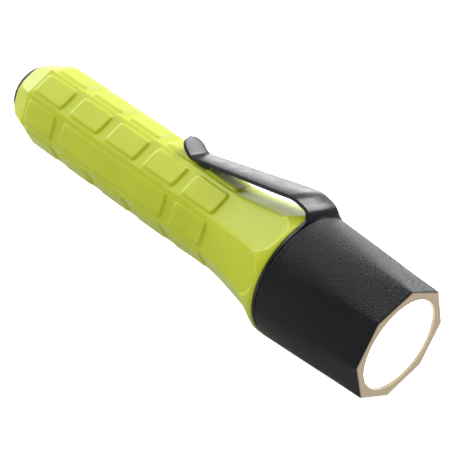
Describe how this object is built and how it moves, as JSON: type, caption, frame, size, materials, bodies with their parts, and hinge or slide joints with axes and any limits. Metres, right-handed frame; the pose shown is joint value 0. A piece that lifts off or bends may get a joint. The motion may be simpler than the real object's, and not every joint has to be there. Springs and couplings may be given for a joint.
{
  "type": "hand lamp",
  "caption": "Straight firefighter's flashlight: octagonal gripped barrel, screw-off eight-sided head, sprung belt clip, and a press switch in the tail.",
  "frame": {"origin": "centre of the bezel opening at the front face", "axes": "+X along the beam, out of the head; +Z from the axis towards the belt clip"},
  "size_m": [0.139, 0.0346, 0.0374],
  "materials": {
    "safety_nylon": "moulded glass-filled nylon, fine satin texture, safety yellow-green",
    "black_nylon": "moulded black nylon, fine sand texture, low sheen",
    "black_nylon_inner": "moulded black nylon, smooth",
    "clip_steel": "black-coated spring steel, satin",
    "clear_lens": "polished clear polycarbonate",
    "mirror_reflector": "vacuum-aluminised bowl",
    "lamp_glass": "clear lamp glass",
    "nickel_wire": "nickel-plated wire",
    "tungsten": "drawn tungsten coil",
    "ceramic_socket": "heat-proof ceramic",
    "brass": "stamped brass",
    "spring_steel": "nickel-plated spring wire",
    "boot_rubber": "moulded dark grey rubber",
    "rubber_black": "moulded nitrile rubber",
    "cell_steel": "nickel-plated steel",
    "cell_sleeve": "plain shrink sleeve",
    "cell_seal": "insulating washer"
  },
  "bodies": {
    "barrel": {"barrel": "safety_nylon", "ground_strip": "brass", "body_seal_ring": "rubber_black", "clip_ring": "clip_steel", "switch_boot": "boot_rubber", "switch_housing": "black_nylon_inner", "switch_fixed_contact": "brass", "switch_return_spring": "spring_steel", "tail_spring": "spring_steel", "front_cell_can": "cell_steel", "front_cell_sleeve": "cell_sleeve", "front_cell_seal": "cell_seal", "front_cell_cap": "cell_steel", "rear_cell_can": "cell_steel", "rear_cell_sleeve": "cell_sleeve", "rear_cell_seal": "cell_seal", "rear_cell_cap": "cell_steel"},
    "lamp_module": {"reflector": "mirror_reflector", "lamp_glass": "lamp_glass", "lamp_pins": "nickel_wire", "lamp_filament": "tungsten", "lamp_socket": "ceramic_socket", "module_cup": "brass", "centre_contact": "brass", "centre_spring": "spring_steel", "outer_spring": "spring_steel"},
    "head": {"head_shell": "black_nylon", "lens": "clear_lens", "lens_seal": "rubber_black"},
    "tail_button": {"switch_plunger": "black_nylon_inner", "switch_moving_contact": "brass"},
    "clip": {"clip_arm": "clip_steel"}
  },
  "joints": [
    {"name": "module_slide", "type": "slide", "parent": "barrel", "child": "lamp_module", "axis": [1, 0, 0], "range_m": [0, 0.008], "deforming": ["centre_spring", "outer_spring"]},
    {"name": "head_twist", "type": "hinge", "parent": "lamp_module", "child": "head", "pos_m": [0, 0, 0], "axis": [1, 0, 0], "range_deg": [0, 1440]},
    {"name": "tail_switch", "type": "slide", "parent": "barrel", "child": "tail_button", "axis": [1, 0, 0], "range_m": [0, 0.0014], "stiffness_N_per_m": 900, "springref_m": -0.001, "deforming": ["switch_boot", "switch_return_spring"]},
    {"name": "clip_flex", "type": "hinge", "parent": "barrel", "child": "clip", "pos_m": [-0.03297, 0, 0.0159], "axis": [0, 1, 0], "range_deg": [0, 6], "stiffness_Nm_per_rad": 3, "springref_deg": -1.72}
  ],
  "couplings": [
    {"joint": "head_twist", "follows": "module_slide", "rad_per_m": 3141.6}
  ]
}
